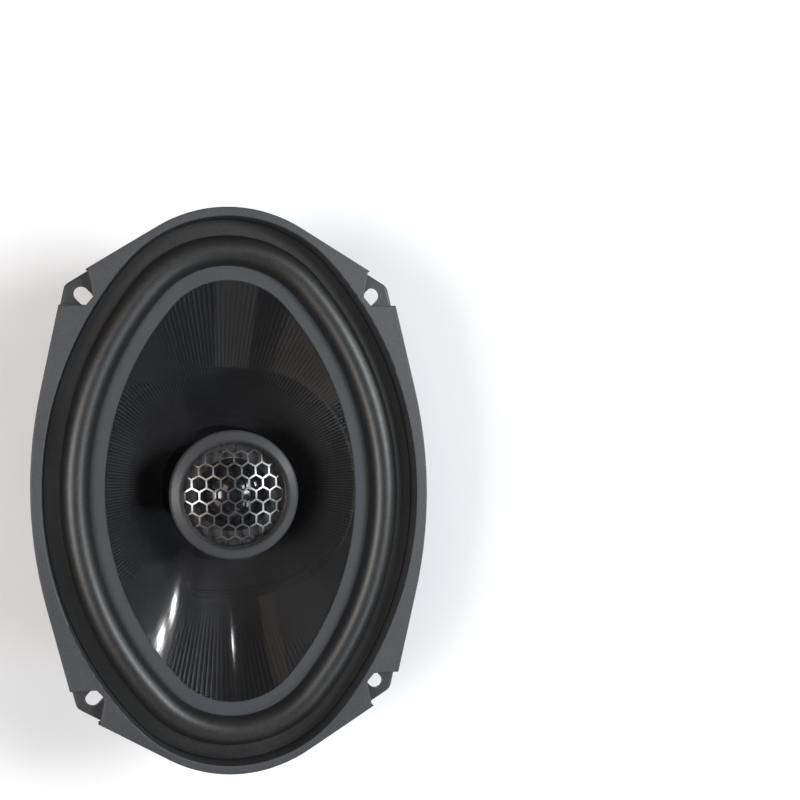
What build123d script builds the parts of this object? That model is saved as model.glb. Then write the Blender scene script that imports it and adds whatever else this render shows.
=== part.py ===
from build123d import *
from math import atan2, cos, hypot, radians, sin, sqrt, tan
import os

# Coaxial car speaker, oval, lying on its magnet and firing up (+Z). The long side runs along Y.
# The origin is the centre of the mounting plane: the back edge of the flange's lip, z = 0.

# ---------------------------------------------------------------- driving dimensions (mm)
WIDTH = 165.0                # across the flange, X
LENGTH = 236.0               # along the flange, Y
MOUNT_DEPTH = 76.0           # from the mounting plane to the back of the magnet boot

SIDE_ARC_R = 190.0           # flange outline: arcs at the long sides
END_ARC_R = 57.0             # flange outline: arcs at the ends
EAR_INSET_X = 15.3           # ear corner, in from the widest point
EAR_INSET_Y = 30.9           # ear corner, in from the longest point
EAR_R = 4.0                  # rounding of the ear corner

LIP_DEPTH = 6.5              # flange front face above the mounting plane
LIP_T = 1.4
FLOOR_T = 2.2                # flange floor at the ears
FLANGE_REVEAL = 0.4          # flange stands this far inside the trim ring
FLANGE_EDGE_R = 1.2

SLOT_W = 6.0
SLOT_LENGTH = 8.4            # end to end, at 45 degrees
SLOT_FROM_EAR_X = 6.9        # centre of the slot's outer round end, in from the ear corner
SLOT_FROM_EAR_Y = 4.1

RING_H = 5.0
RING_FACE_SIDE = 4.5         # width of the ring's face at the sides
RING_FACE_END = 3.8          # and at the ends
RING_EDGE_R = 0.6
NOTCH_DEPTH_Y = 8.8          # ring notch's straight edge, below the ear corner
NOTCH_REACH_X = 11.7         # notch's inner corner, in from the ear corner
NOTCH_REACH_Y = 5.4
NOTCH_SLANT_X = 9.9          # where the slanted edge leaves the outline, in from the ear corner
NOTCH_SLANT_Y = 4.9          # and above it
NOTCH_R = 1.0

CORNER_ANGLE = 41.2          # where an oval's side arc meets its end arc, in degrees
RECESS_WALL = 1.4
LEDGE_DEPTH = 5.0            # surround's ledge below the flange front
LEDGE_T = 2.0
LEDGE_W = 7.0
WELL_DEPTH = 13.5            # from the flange front to where the wall turns in
WELL_EDGE_R = 3.0

SHELL_T = 1.6                # arms' offset in plan and in height
BELLY_SHARE = 0.79           # where the arms bulge most, from the wall's end to the shoulder
BELLY_IN_W = 26.4            # and how far in from the wall the arms are there
BELLY_IN_L = 44.4
SHOULDER_R = 45.5
NECK_R = 41.5
NECK_H = 8.0
NECK_WALL = 2.2
NECK_FLOOR_T = 2.0
VENT_R = 2.8
VENT_COUNT = 10
VENT_RISE = 4.2              # vent centres above the top plate

WINDOW_RIM = 3.0             # shell left outside each side window
SIDE_WINDOW_INNER = (31.4, 0.393)  # side window's inner corner: in from the wall, share of half the length
SIDE_WINDOW_TIP = (22.8, 0.51)     # and its outer corner
END_WINDOW_ARM_X = (11.0, 14.0)    # end arm's half width at the shoulder and at the wall
END_WINDOW_INNER_Y = 5.5           # window's inner corner, out from the shoulder
END_WINDOW_TOP = (54.0, 18.0)      # its other corners, in from the wall
END_WINDOW_TIP = (33.0, 34.0)
WINDOW_R = 2.5

BOOT_R = 53.0
BOOT_WALL = 1.6
BOOT_STEP = 1.5              # boot's front edge behind the top plate's front face
BOOT_FRONT_R = 2.4
BOOT_BACK_R = 1.0
BOOT_LIP_H = 3.0
BOOT_NOTCH_IN = 0.5          # leads' notch cuts this far into the lip's bore and below it
MAGNET_T = 13.0
MAGNET_IN = 3.5              # magnet's and top plate's edge, inside the boot's
YOKE_T = 6.0
YOKE_IN = 6.0                # yoke's edge, inside the boot's
MAGNET_BORE_R = 22.0
TOP_PLATE_T = 5.4
COIL_R = 16.5                # inside of the voice coil former
FORMER_T = 0.4
WINDING_T = 0.8
WINDING_H = 12.0
FORMER_BELOW = 0.5           # former past the winding's lower end
GAP_INSIDE = 0.6             # pole to former
GAP_OUTSIDE = 0.7            # winding to top plate
POST_BORE_R = 4.1
LEAD_GROOVE_W = 2.4
LEAD_GROOVE_DEPTH = 2.0
RIVET_COUNT = 6
RIVET_R = 2.0
RIVET_HEAD_R = 3.4
RIVET_HEAD_H = 1.4
RIVET_CIRCLE_R = 30.0

SURROUND_T = 0.9
FOOT_GAP = 0.4               # surround's foot inside the recess wall
ROLL_START = 6.5             # offsets in from the ring's inner edge
ROLL_END = 19.0
CONE_EDGE = 25.0
CONE_RIM_GAP = 0.6
CONE_T = 0.9                 # cone thickness, measured along the axis
CONE_NECK_RISE = 6.0         # cone neck above the spider
CONE_NECK_WALL = 1.1
GLUE_GAP = 0.1
FORMER_ABOVE_NECK = 1.5
SPIDER_T = 1.4
SPIDER_EDGE_GAP = 0.5

BEZEL_R = 27.0
BEZEL_FACE_W = 4.4
BEZEL_DROP = 1.4             # bezel's top below the ring's front
BEZEL_SLOPE = 1.6            # how much lower the bezel's outer edge is
BEZEL_H = 6.0
BEZEL_WALL = 1.2
BEZEL_LIP_R = 0.7
BEZEL_SKIRT = 1.0
HOUSING_WALL = 1.6
HOUSING_DEPTH = 18.0
HOUSING_BASE_R = 15.0
HOUSING_RIM_H = 2.4
POST_R = 6.5
POST_FOOT_R = 12.0
POST_FOOT_H = 2.0
POST_COLLAR_R = 11.0
STEM_R = 4.0
STEM_BORE_R = 2.4
NUT_ACROSS = 13.0
NUT_H = 2.6
NUT_CLEARANCE = 0.4
GRILLE_RISE = 5.6
GRILLE_DROP = 4.6            # grille's edge below the bezel's top
GRILLE_T = 0.9
GRILLE_PITCH = 5.9
GRILLE_RIB = 0.7
GRILLE_RIM_W = 1.2
FIT_GAP = 0.1
DOME_R = 12.5
DOME_T = 0.3
DOME_RISE = 4.6
DOME_EDGE_W = 3.0
DOME_DROP = 5.5              # dome's edge below the bezel's top
TWEETER_MAGNET_R = 10.6
TWEETER_MAGNET_H = 3.0
TWEETER_PLATE_R = 11.7
TWEETER_PLATE_H = 1.6
TWEETER_COIL_H = 3.4
TWEETER_COIL_T = 0.35
TWEETER_CUP_R = 16.5
TWEETER_CUP_WALL = 3.4
TWEETER_CUP_FLOOR = 2.2
TWEETER_XMAX = 0.3
DOME_CLEARANCE = 0.6         # dome's edge above the cup, past its travel

BOARD_SHARE = 0.778          # terminal board's reference line, from the shoulder out to the belly
BOARD_TILT = 4.0             # board steeper than the end arm under it, in degrees
BOARD_T = 1.6
BOARD_W = 30.0
BOARD_L = 38.0
BOARD_SHIFT = 1.5            # board's middle, outwards of the reference line
PAD_H = 3.2                  # board off the arm
PAD_R = 3.2
PAD_PLACES = (-6.7, 18.0)    # along the board, in the gaps between its components
BOARD_RIVET_R = 1.4
BOARD_RIVET_HEAD_R = 2.2
BOARD_RIVET_HEAD_H = 0.6
CAP_LARGE = (5.0, 17.0, -1.6)    # radius, length, place along the board
CAP_SMALL = (4.5, 14.0, -11.6)
CAP_EDGE_R = 0.8
BOBBIN = (6.6, 11.0, 12.2)       # flange radius, length, place along the board
BOBBIN_FLANGE_T = 1.2
BOBBIN_HUB_R = 3.4
BOBBIN_BORE_R = 1.6
BOBBIN_RIM = 1.0             # flange stands this far past the winding
GLUE_R = 2.6
GLUE_LENGTH = 12.0
TAB_T = 0.8
TAB_W_POSITIVE = 6.3
TAB_W_NEGATIVE = 4.8
TAB_SPACING = 17.0
TAB_OUT = 9.0
TAB_IN = 4.5
TAB_HOLE_R = 0.9
WIRE_R = 0.7
BEND_SHARE = 0.45            # share of the shorter run taken up by each bend
JUMPER_LONG_X = 1.6          # wires past the capacitors' ends
JUMPER_SHORT_X = 1.0
JUMPER_LONG = (              # each wire's corners: further past the end, place along the board, height
    (-4.0, 4.8, 10.0),
    (0.0, 4.6, 9.2),
    (0.3, -2.5, 7.4),
    (0.0, -9.5, 6.0),
    (-0.4, -15.0, 4.8),
    (-0.4, -15.0, BOARD_T),
)
JUMPER_SHORT = (
    (0.0, -12.5, 10.0),
    (0.0, -8.8, 9.4),
    (0.0, -8.8, BOARD_T),
)
TINSEL_R = 0.6
TINSEL_EYELET_R = 1.5
TINSEL_EYELET_H = 1.6
TINSEL_EYE = (9.0, 36.0)     # where each lead meets the back of the cone
TINSEL_TAIL = 4.0            # its straight end below the cone
TINSEL_MIDDLE = (12.5, 52.0, 12.5)   # its bend in the end window: x, y and height over the shelf
TINSEL_DROP = 8.0            # its straight start off the board
TINSEL_INSET = (1.0, 0.5)    # and where it starts, in from the board's side and out from the middle
TWEETER_LEAD_R = 0.45
TWEETER_LEAD_BEND_R = 0.9
TWEETER_LEAD_X = 0.6         # each of the pair off the middle
TWEETER_LEAD_RISE = 3.0      # their last corner over the board

# ---------------------------------------------------------------- levels and derived sizes
HALF_W = WIDTH / 2
HALF_L = LENGTH / 2
MAGNET_R = BOOT_R - MAGNET_IN
YOKE_R = BOOT_R - YOKE_IN
EAR_X = HALF_W - EAR_INSET_X
EAR_Y = HALF_L - EAR_INSET_Y
FLANGE_FRONT = LIP_DEPTH
RING_FRONT = FLANGE_FRONT + RING_H
RECESS_W = HALF_W - RING_FACE_SIDE
RECESS_L = HALF_L - RING_FACE_END
LEDGE_Z = FLANGE_FRONT - LEDGE_DEPTH
WALL_END = FLANGE_FRONT - WELL_DEPTH
BACK = -MOUNT_DEPTH
YOKE_BACK = BACK + BOOT_WALL
MAGNET_BACK = YOKE_BACK + YOKE_T
PLATE_BACK = MAGNET_BACK + MAGNET_T
PLATE_FRONT = PLATE_BACK + TOP_PLATE_T
NUT_BACK = YOKE_BACK + LEAD_GROOVE_DEPTH
SHOULDER_Z = PLATE_FRONT + NECK_H
BELLY_Z = WALL_END + (SHOULDER_Z - WALL_END) * BELLY_SHARE
WALL_W = RECESS_W + RECESS_WALL
WALL_L = RECESS_L + RECESS_WALL
BELLY_W = WALL_W - BELLY_IN_W
BELLY_L = WALL_L - BELLY_IN_L
SHELF_Z = SHOULDER_Z + SHELL_T
SPIDER_TOP = SHELF_Z + SPIDER_T
FORMER_R = COIL_R + FORMER_T
WINDING_R = FORMER_R + WINDING_T
POLE_R = COIL_R - GAP_INSIDE
GAP_R = WINDING_R + GAP_OUTSIDE
CONE_NECK_Z = SPIDER_TOP + CONE_NECK_RISE
BEZEL_TOP = RING_FRONT - BEZEL_DROP
BEZEL_OPENING_R = BEZEL_R - BEZEL_FACE_W
HOUSING_BASE = BEZEL_TOP - HOUSING_DEPTH
HOUSING_R = BEZEL_R - BEZEL_WALL - FIT_GAP
DOME_Z = BEZEL_TOP - DOME_DROP
CUP_TOP = DOME_Z - DOME_T - TWEETER_XMAX - DOME_CLEARANCE
CUP_FLOOR = CUP_TOP - TWEETER_PLATE_H - TWEETER_MAGNET_H
CUP_BACK = CUP_FLOOR - TWEETER_CUP_FLOOR
RING_SEAT = BEZEL_TOP - BEZEL_H


BOTTOM_ALIGNED = (Align.CENTER, Align.CENTER, Align.MIN)
TOP_ALIGNED = (Align.CENTER, Align.CENTER, Align.MAX)
OUTWARDS = (Align.CENTER, Align.MIN, Align.MIN)


# ---------------------------------------------------------------- helpers
def at(z):
    return Pos(0, 0, z)


def oval_arcs(half_w, half_l):
    """Centre, radius, start angle and size of an oval's four tangent arcs."""
    c, s = cos(radians(CORNER_ANGLE)), sin(radians(CORNER_ANGLE))
    spread = (half_l - half_w) / (s + c - 1)
    end_r = half_l - spread * s
    side_r = end_r + spread
    turn = 2 * CORNER_ANGLE
    return [
        ((-spread * c, 0), side_r, -CORNER_ANGLE, turn),
        ((0, spread * s), end_r, CORNER_ANGLE, 180 - turn),
        ((spread * c, 0), side_r, 180 - CORNER_ANGLE, turn),
        ((0, -spread * s), end_r, 180 + CORNER_ANGLE, 180 - turn),
    ]


def oval(half_w, half_l):
    arcs = [CenterArc(centre, r, start, size) for centre, r, start, size in oval_arcs(half_w, half_l)]
    return Face(Wire(arcs))


def inset(distance):
    """Oval parallel to the ring's inner edge, this far inside it."""
    return oval(RECESS_W - distance, RECESS_L - distance)


def slab(face, bottom, top):
    return extrude(at(bottom) * face, amount=top - bottom, dir=(0, 0, 1))


def disc(radius, bottom, top):
    return at(bottom) * Cylinder(radius, top - bottom, align=BOTTOM_ALIGNED)


def tube(outer_r, inner_r, bottom, top):
    return disc(outer_r, bottom, top) - disc(inner_r, bottom, top)


def turned(points, closed=True):
    """Solid of revolution about Z from (radius, z) points."""
    profile = make_face(Polyline(*[(r, z) for r, z in points], close=closed))
    return revolve(Plane.XZ * profile, axis=Axis.Z)


def around(z, radius, count):
    """Evenly spaced places on a circle at one height, each facing outwards."""
    return at(z) * PolarLocations(radius, count)


def along_oval(profile):
    """Runs a section round the ring's inner oval. The section is drawn as (outward offset, z)."""
    pieces = []
    for centre, radius, start, size in oval_arcs(RECESS_W, RECESS_L):
        axis = Axis((*centre, 0), (0, 0, 1))
        place = Pos(*centre, 0) * Rot(0, 0, start) * Pos(radius, 0, 0)
        section = place * (Plane.XZ * profile)
        pieces.append(revolve(section, axis=axis, revolution_arc=size))
    return pieces[0] + pieces[1:]


def four_corners(shape):
    """One shape in each quadrant."""
    pair = [shape, mirror(shape, about=Plane.YZ)]
    return pair + [mirror(s, about=Plane.XZ) for s in pair]


def run_tight(points, radius):
    """Round wire laid square round its corners."""
    path = FilletPolyline(*points, radius=TWEETER_LEAD_BEND_R)
    return sweep(Plane(path @ 0, z_dir=path % 0) * Circle(radius), path=path)


def run(points, radius):
    """Round wire along straight runs, joined by arcs as large as the runs allow."""
    corners = [Vector(*p) for p in points]
    radii = []
    for before, corner, after in zip(corners, corners[1:], corners[2:]):
        turn = radians((corner - before).get_angle(after - corner))
        shorter = min((corner - before).length, (after - corner).length)
        radii.append(BEND_SHARE * shorter / tan(turn / 2))
    path = FilletPolyline(*corners, radius=radii)
    return sweep(Plane(path @ 0, z_dir=path % 0) * Circle(radius), path=path)


# ---------------------------------------------------------------- flange outline
def tangent_point(corner, centre, radius, side):
    """Point where a line from the ear corner touches an arc."""
    dx, dy = corner[0] - centre[0], corner[1] - centre[1]
    distance = hypot(dx, dy)
    angle = atan2(dy, dx) + side * atan2(sqrt(distance**2 - radius**2), radius)
    return centre[0] + radius * cos(angle), centre[1] + radius * sin(angle)


def outline(reveal):
    """Flange outline: arcs at the sides and ends, joined by straight lines that meet at the ears."""
    half_w, half_l = HALF_W - reveal, HALF_L - reveal
    ear = (EAR_X - reveal, EAR_Y - reveal)
    side_r, end_r = SIDE_ARC_R - reveal, END_ARC_R - reveal
    low = tangent_point(ear, (half_w - side_r, 0), side_r, -1)
    high = tangent_point(ear, (0, half_l - end_r), end_r, 1)
    quarter = [
        ThreePointArc((low[0], -low[1]), (half_w, 0), low),
        Line(low, ear),
        Line(ear, high),
        ThreePointArc(high, (0, half_l), (-high[0], high[1])),
        Line((-high[0], high[1]), (-ear[0], ear[1])),
        Line((-ear[0], ear[1]), (-low[0], low[1])),
        ThreePointArc((-low[0], low[1]), (-half_w, 0), (-low[0], -low[1])),
        Line((-low[0], -low[1]), (-ear[0], -ear[1])),
        Line((-ear[0], -ear[1]), (-high[0], -high[1])),
        ThreePointArc((-high[0], -high[1]), (0, -half_l), (high[0], -high[1])),
        Line((high[0], -high[1]), (ear[0], -ear[1])),
        Line((ear[0], -ear[1]), (low[0], -low[1])),
    ]
    face = Sketch() + Face(Wire(quarter))
    ears = [v for v in face.vertices() if hypot(abs(v.X) - ear[0], abs(v.Y) - ear[1]) < 0.01]
    return fillet(ears, EAR_R)


def slots():
    """The four mounting slots, each pointing towards the centre at 45 degrees."""
    half_run = (SLOT_LENGTH - SLOT_W) / 2
    x = EAR_X - SLOT_FROM_EAR_X - half_run * cos(radians(45))
    y = EAR_Y - SLOT_FROM_EAR_Y - half_run * sin(radians(45))
    slot = Pos(x, y) * Rot(0, 0, 45) * SlotOverall(SLOT_LENGTH, SLOT_W)
    return four_corners(extrude(at(-1) * slot, amount=FLANGE_FRONT + 2))


# ---------------------------------------------------------------- basket
def shell(shrink, lift):
    """Solid inside the arms' surface, from the shoulder to the wall."""
    sections = [
        (SHOULDER_Z, SHOULDER_R, SHOULDER_R),
        (BELLY_Z, BELLY_W, BELLY_L),
        (WALL_END, WALL_W, WALL_L),
    ]
    faces = [at(z + lift) * oval(a - shrink, b - shrink) for z, a, b in sections]
    return loft(faces)


def side_window():
    """Long window between the wide arms, in plan."""
    inner = (WALL_W - SIDE_WINDOW_INNER[0], WALL_L * SIDE_WINDOW_INNER[1])
    tip = (WALL_W - SIDE_WINDOW_TIP[0], WALL_L * SIDE_WINDOW_TIP[1])
    upper = [inner, tip, (WIDTH, tip[1])]
    lower = [(x, -y) for x, y in reversed(upper)]
    cut = make_face(Polyline(*upper, *lower, close=True)) & inset(WINDOW_RIM - RECESS_WALL)
    return fillet(cut.vertices(), WINDOW_R)


def end_window():
    """Small window between an end arm and a wide arm, in plan."""
    corners = [
        (END_WINDOW_ARM_X[0], SHOULDER_R + END_WINDOW_INNER_Y),
        (END_WINDOW_ARM_X[1], WALL_L - END_WINDOW_TOP[1]),
        (WALL_W - END_WINDOW_TOP[0], WALL_L - END_WINDOW_TOP[1]),
        (WALL_W - END_WINDOW_TIP[0], WALL_L - END_WINDOW_TIP[1]),
    ]
    cut = make_face(Polyline(*corners, close=True))
    return fillet(cut.vertices(), WINDOW_R)


def windows():
    """Two long windows at the sides and four small ones beside the end arms."""
    bottom = PLATE_FRONT
    side = slab(side_window(), bottom, WALL_END)
    end = slab(end_window(), bottom, WALL_END)
    return [side, mirror(side, about=Plane.YZ)] + four_corners(end)


def board_plane(height):
    """Plane above the end arm's outside: local x towards -X, local y outwards, local z off the arm."""
    arm_run, arm_rise = BELLY_L - SHOULDER_R, BELLY_Z - SHOULDER_Z
    line_y = SHOULDER_R + arm_run * BOARD_SHARE
    line_z = SHOULDER_Z + arm_rise * BOARD_SHARE
    tilt = atan2(arm_rise, arm_run) + radians(BOARD_TILT)
    out = (0, sin(tilt), -cos(tilt))
    origin = (0, line_y + out[1] * height, line_z + out[2] * height)
    return Plane(origin, x_dir=(-1, 0, 0), z_dir=out)


def on_board(shape, x, y, height=BOARD_T):
    """Sets a shape on the terminal board."""
    return board_plane(PAD_H) * Pos(x, y, height) * shape


def board_point(x, y, height):
    """Point given as board x, y and height, in the speaker's frame."""
    return tuple(on_board(Pos(0, 0, 0), x, y, height).position)


def at_pads(shape):
    """One shape at each of the board's two pads, at the board's underside."""
    return [on_board(shape, 0, place, 0) for place in PAD_PLACES]


def basket():
    body = shell(0, 0) + slab(oval(WALL_W, WALL_L), WALL_END, FLANGE_FRONT)
    body += disc(NECK_R, PLATE_FRONT, SHELF_Z)
    level = [edge for edge in body.edges() if edge.bounding_box().size.Z < 0.01]
    body = fillet([edge for edge in level if abs(edge.center().Z - WALL_END) < 0.01], WELL_EDGE_R)

    plate = slab(outline(FLANGE_REVEAL), 0, FLANGE_FRONT)
    rim = plate.faces().sort_by(Axis.Z)[-1].outer_wire().edges()
    plate = fillet(rim, FLANGE_EDGE_R)
    plate -= slab(outline(FLANGE_REVEAL + LIP_T), -1, FLANGE_FRONT - FLOOR_T)
    body += plate
    body += at_pads(Cylinder(PAD_R, 2 * PAD_H, align=TOP_ALIGNED))

    body -= shell(SHELL_T, SHELL_T)
    body -= slab(inset(0), WALL_END + SHELL_T - 0.01, FLANGE_FRONT + 1)
    body -= disc(NECK_R - NECK_WALL, PLATE_FRONT + NECK_FLOOR_T, SHELF_Z + 1)
    body -= disc(GAP_R, PLATE_FRONT - 1, PLATE_FRONT + NECK_FLOOR_T + 1)
    ledge = slab(inset(-RECESS_WALL / 2), LEDGE_Z - LEDGE_T, LEDGE_Z)
    body += ledge - slab(inset(LEDGE_W), LEDGE_Z - LEDGE_T - 1, LEDGE_Z + 1)

    body -= windows()
    body -= slots()
    vent = Rot(0, 90, 0) * Cylinder(VENT_R, 4 * NECK_WALL)
    body -= around(PLATE_FRONT + VENT_RISE, NECK_R, VENT_COUNT) * vent
    body -= around(PLATE_FRONT, RIVET_CIRCLE_R, RIVET_COUNT) * Cylinder(RIVET_R, 2 * TOP_PLATE_T)

    return body - at_pads(Cylinder(BOARD_RIVET_R, PAD_H, align=TOP_ALIGNED))


def trim_ring():
    """Oval ring over the surround's foot, notched at the four ears."""
    ring = slab(outline(0), FLANGE_FRONT, RING_FRONT)
    ring -= slab(inset(0), FLANGE_FRONT - 1, RING_FRONT + 1)
    corners = [
        (EAR_X - NOTCH_REACH_X, EAR_Y - NOTCH_REACH_Y),
        (EAR_X - NOTCH_SLANT_X, EAR_Y + NOTCH_SLANT_Y),
        (EAR_X, EAR_Y + 2 * NOTCH_SLANT_Y),
        (EAR_X + 2 * NOTCH_SLANT_Y, EAR_Y - NOTCH_DEPTH_Y),
        (EAR_X - NOTCH_REACH_X + NOTCH_R * 3, EAR_Y - NOTCH_DEPTH_Y),
    ]
    notch = Sketch() + make_face(Polyline(*corners, close=True))
    inner = notch.vertices().sort_by(Axis.X)[0]
    notch = fillet(inner, NOTCH_R)
    ring -= four_corners(extrude(at(FLANGE_FRONT - 1) * notch, amount=RING_H + 2))
    return fillet(ring.faces().sort_by(Axis.Z)[-1].edges(), RING_EDGE_R)


# ---------------------------------------------------------------- moving cone
def surround():
    """Rubber half roll with a foot on the basket's ledge and a landing on the cone's rim."""
    middle = -(ROLL_START + ROLL_END) / 2
    outer_r = (ROLL_END - ROLL_START) / 2
    inner_r = outer_r - SURROUND_T
    base, top = LEDGE_Z, LEDGE_Z + SURROUND_T
    section = make_face([
        Polyline((middle + outer_r, top), (-FOOT_GAP, top), (-FOOT_GAP, base), (middle + inner_r, base)),
        ThreePointArc((middle + inner_r, base), (middle, base + inner_r), (middle - inner_r, base)),
        Polyline((middle - inner_r, base), (-CONE_EDGE, base), (-CONE_EDGE, top), (middle - outer_r, top)),
        ThreePointArc((middle - outer_r, top), (middle, top + outer_r), (middle + outer_r, top)),
    ])
    return along_oval(section)


def cone_body(lift):
    """Solid inside the cone's back, from the neck to the rim."""
    neck_r = FORMER_R + GLUE_GAP + CONE_NECK_WALL
    neck = at(CONE_NECK_Z + lift) * oval(neck_r, neck_r)
    rim = at(LEDGE_Z + lift) * inset(CONE_EDGE - CONE_T)
    return loft([neck, rim], ruled=True)


def cone():
    """Thin cone from the voice coil to the oval rim under the surround's landing."""
    rim = slab(inset(ROLL_END + CONE_RIM_GAP), LEDGE_Z - CONE_T, LEDGE_Z)
    rim -= slab(inset(CONE_EDGE - CONE_T + 1), LEDGE_Z - 2 * CONE_T, LEDGE_Z + CONE_T)
    shape = (cone_body(0) + rim) - cone_body(CONE_T)
    return shape - disc(FORMER_R + GLUE_GAP, CONE_NECK_Z - 1, LEDGE_Z)


def voice_coil_former():
    bottom = (PLATE_FRONT + PLATE_BACK - WINDING_H) / 2 - FORMER_BELOW
    return tube(FORMER_R, COIL_R, bottom, CONE_NECK_Z + FORMER_ABOVE_NECK)


def voice_coil_winding():
    bottom = (PLATE_FRONT + PLATE_BACK - WINDING_H) / 2
    return tube(WINDING_R, FORMER_R, bottom, bottom + WINDING_H)


def spider():
    """Corrugated cloth disc that centres the coil, between the former and the basket's shelf."""
    outer = SHOULDER_R - SHELL_T - SPIDER_EDGE_GAP
    return tube(outer, FORMER_R + GLUE_GAP, SHELF_Z, SPIDER_TOP)


# ---------------------------------------------------------------- motor
def top_plate():
    plate = tube(MAGNET_R, GAP_R, PLATE_BACK, PLATE_FRONT)
    rivet_holes = around(PLATE_FRONT, RIVET_CIRCLE_R, RIVET_COUNT) * Cylinder(RIVET_R, 2 * TOP_PLATE_T + 1)
    return plate - rivet_holes


def magnet():
    return tube(MAGNET_R, MAGNET_BORE_R, MAGNET_BACK, PLATE_BACK)


def yoke():
    """Back plate and pole in one, bored for the tweeter's stem, with a groove for its leads."""
    body = disc(YOKE_R, YOKE_BACK, MAGNET_BACK) + disc(POLE_R, MAGNET_BACK, PLATE_FRONT)
    body -= disc(POST_BORE_R, YOKE_BACK - 1, PLATE_FRONT + 1)
    body -= disc(NUT_ACROSS / sqrt(3) + NUT_CLEARANCE, YOKE_BACK, NUT_BACK + NUT_H)
    groove = Box(LEAD_GROOVE_W, BOOT_R, LEAD_GROOVE_DEPTH, align=OUTWARDS)
    return body - at(YOKE_BACK) * groove


def magnet_boot():
    """Rubber cup over the magnet, rounded over the top plate's edge."""
    front = PLATE_FRONT - BOOT_STEP
    lip = front - BOOT_LIP_H
    inner = BOOT_R - BOOT_WALL
    cup = disc(BOOT_R, BACK, front)
    cup = fillet(cup.edges().sort_by(Axis.Z)[-1], BOOT_FRONT_R)
    cup = fillet(cup.edges().sort_by(Axis.Z)[0], BOOT_BACK_R)
    cup -= disc(inner, YOKE_BACK, lip)
    cup -= disc(MAGNET_R + FIT_GAP, lip - 1, front + 1)
    notch_y, notch_z = MAGNET_R - BOOT_NOTCH_IN, lip - BOOT_NOTCH_IN
    notch = Box(LEAD_GROOVE_W, BOOT_WALL + LEAD_GROOVE_W, BOOT_LIP_H + 2, align=OUTWARDS)
    return cup - Pos(0, notch_y, notch_z) * notch


def basket_rivets():
    """Rivets through the basket's floor into the top plate, headed over the floor."""
    floor = PLATE_FRONT + NECK_FLOOR_T
    rivet = disc(RIVET_R, PLATE_BACK, floor) + disc(RIVET_HEAD_R, floor, floor + RIVET_HEAD_H)
    return Compound(children=list(PolarLocations(RIVET_CIRCLE_R, RIVET_COUNT) * rivet))


# ---------------------------------------------------------------- tweeter
def tweeter_post():
    """Post on the pole, with a hollow stem through it and a collar under the housing."""
    body = disc(POST_FOOT_R, PLATE_FRONT, PLATE_FRONT + POST_FOOT_H)
    body += disc(POST_R, PLATE_FRONT, HOUSING_BASE)
    body += disc(POST_COLLAR_R, HOUSING_BASE - POST_FOOT_H, HOUSING_BASE)
    body += disc(STEM_R, NUT_BACK, PLATE_FRONT)
    return body - disc(STEM_BORE_R, YOKE_BACK, HOUSING_BASE)


def post_nut():
    """Nut on the stem, sunk in the yoke's back above the leads' groove."""
    hexagon = RegularPolygon(NUT_ACROSS / 2, 6, major_radius=False)
    return slab(hexagon, NUT_BACK, NUT_BACK + NUT_H) - disc(STEM_R, YOKE_BACK, PLATE_FRONT)


def tweeter_housing():
    """Cup that holds the tweeter, flared from its base to the bezel."""
    socket_r = TWEETER_CUP_R + FIT_GAP
    inner_r = HOUSING_R - HOUSING_WALL
    shape = turned([
        (STEM_BORE_R, HOUSING_BASE),
        (HOUSING_BASE_R, HOUSING_BASE),
        (HOUSING_R - HOUSING_WALL, RING_SEAT - HOUSING_RIM_H - HOUSING_WALL),
        (HOUSING_R, RING_SEAT - HOUSING_RIM_H),
        (HOUSING_R, RING_SEAT),
        (inner_r, RING_SEAT),
        (inner_r, RING_SEAT - HOUSING_RIM_H),
        (socket_r + HOUSING_WALL, CUP_FLOOR),
        (socket_r, CUP_FLOOR),
        (socket_r, CUP_BACK),
        (STEM_BORE_R, CUP_BACK),
    ])
    channel_h = RING_SEAT - CUP_BACK + LEAD_GROOVE_DEPTH
    channel = Box(LEAD_GROOVE_W, TWEETER_CUP_R + LEAD_GROOVE_W, channel_h, align=OUTWARDS)
    return shape - at(CUP_BACK - LEAD_GROOVE_DEPTH) * channel


def tweeter_ring():
    """Flat ring round the dome, under the bezel and the grille."""
    outer_r = HOUSING_R - HOUSING_WALL - FIT_GAP
    return tube(outer_r, DOME_R + DOME_EDGE_W + 3 * FIT_GAP, CUP_TOP, RING_SEAT)


def tweeter_bezel():
    """Ring over the housing's rim, its face falling away outwards."""
    low = BEZEL_TOP - BEZEL_SLOPE
    return turned([
        (BEZEL_OPENING_R, BEZEL_TOP - BEZEL_LIP_R),
        (BEZEL_OPENING_R + BEZEL_LIP_R, BEZEL_TOP),
        (BEZEL_R - BEZEL_LIP_R, low),
        (BEZEL_R, low - BEZEL_LIP_R),
        (BEZEL_R, RING_SEAT - BEZEL_SKIRT),
        (BEZEL_R - BEZEL_WALL, RING_SEAT - BEZEL_SKIRT),
        (BEZEL_R - BEZEL_WALL, RING_SEAT),
        (BEZEL_OPENING_R, RING_SEAT),
    ])


def dome_cap(radius, rise, thickness, base):
    """Thin spherical cap standing on z = base."""
    ball_r = (radius**2 + rise**2) / (2 * rise)
    ball = at(base + rise - ball_r) * (Sphere(ball_r) - Sphere(ball_r - thickness))
    return ball & disc(radius + 1, base, base + rise + 1)


def hex_places(reach):
    """Centres of a honeycomb's cells inside a circle."""
    row_step = GRILLE_PITCH * sqrt(3) / 2
    rows = int(reach / row_step)
    columns = int(reach / GRILLE_PITCH) + 1
    found = []
    for row in range(-rows, rows + 1):
        shift = GRILLE_PITCH / 2 if row % 2 else 0
        for column in range(-columns, columns + 1):
            x, y = column * GRILLE_PITCH + shift, row * row_step
            if hypot(x, y) < reach:
                found.append((x, y))
    return found


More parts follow.
